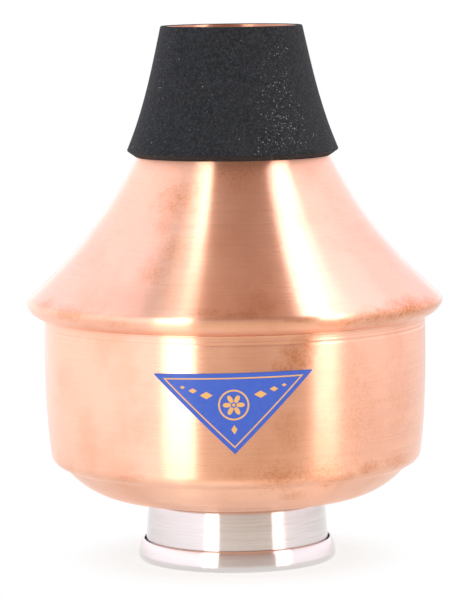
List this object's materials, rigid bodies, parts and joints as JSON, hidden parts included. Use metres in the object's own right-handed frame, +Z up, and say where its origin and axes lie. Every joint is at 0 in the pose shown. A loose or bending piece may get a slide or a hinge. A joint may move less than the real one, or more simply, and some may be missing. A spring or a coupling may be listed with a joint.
{
  "type": "wah-wah mute for a trumpet",
  "caption": "Copper wah-wah mute for a trumpet: spun body in two shells with a rolled lip, black sealing collar, and an aluminium tube and cup that slide out of a cork-lined socket.",
  "frame": {"origin": "centre of the flat rim of the cup that the mute stands on, with the stem pushed home", "axes": "+Z up along the mute's axis, from the cup to the open neck; -Y towards the label"},
  "size_m": [0.1, 0.1, 0.1284],
  "materials": {
    "satin_copper": "bare copper, spun and brushed round the axis to a satin finish, lacquered, with faint tarnish",
    "turned_aluminium": "satin, with fine turning lines",
    "black_collar": "matt, fine open grain",
    "natural_cork": "sanded cork",
    "blue_foil": "printed foil, semi-gloss"
  },
  "bodies": {
    "mute_body": {"upper_shell": "satin_copper", "lower_shell": "satin_copper", "neck_collar": "black_collar", "stem_socket": "satin_copper", "socket_cork": "natural_cork", "label": "blue_foil"},
    "stem": {"stem_tube": "turned_aluminium", "stem_cup": "turned_aluminium"}
  },
  "joints": [
    {"name": "stem_slide", "type": "slide", "parent": "mute_body", "child": "stem", "axis": [0, 0, -1], "range_m": [0, 0.055]}
  ]
}
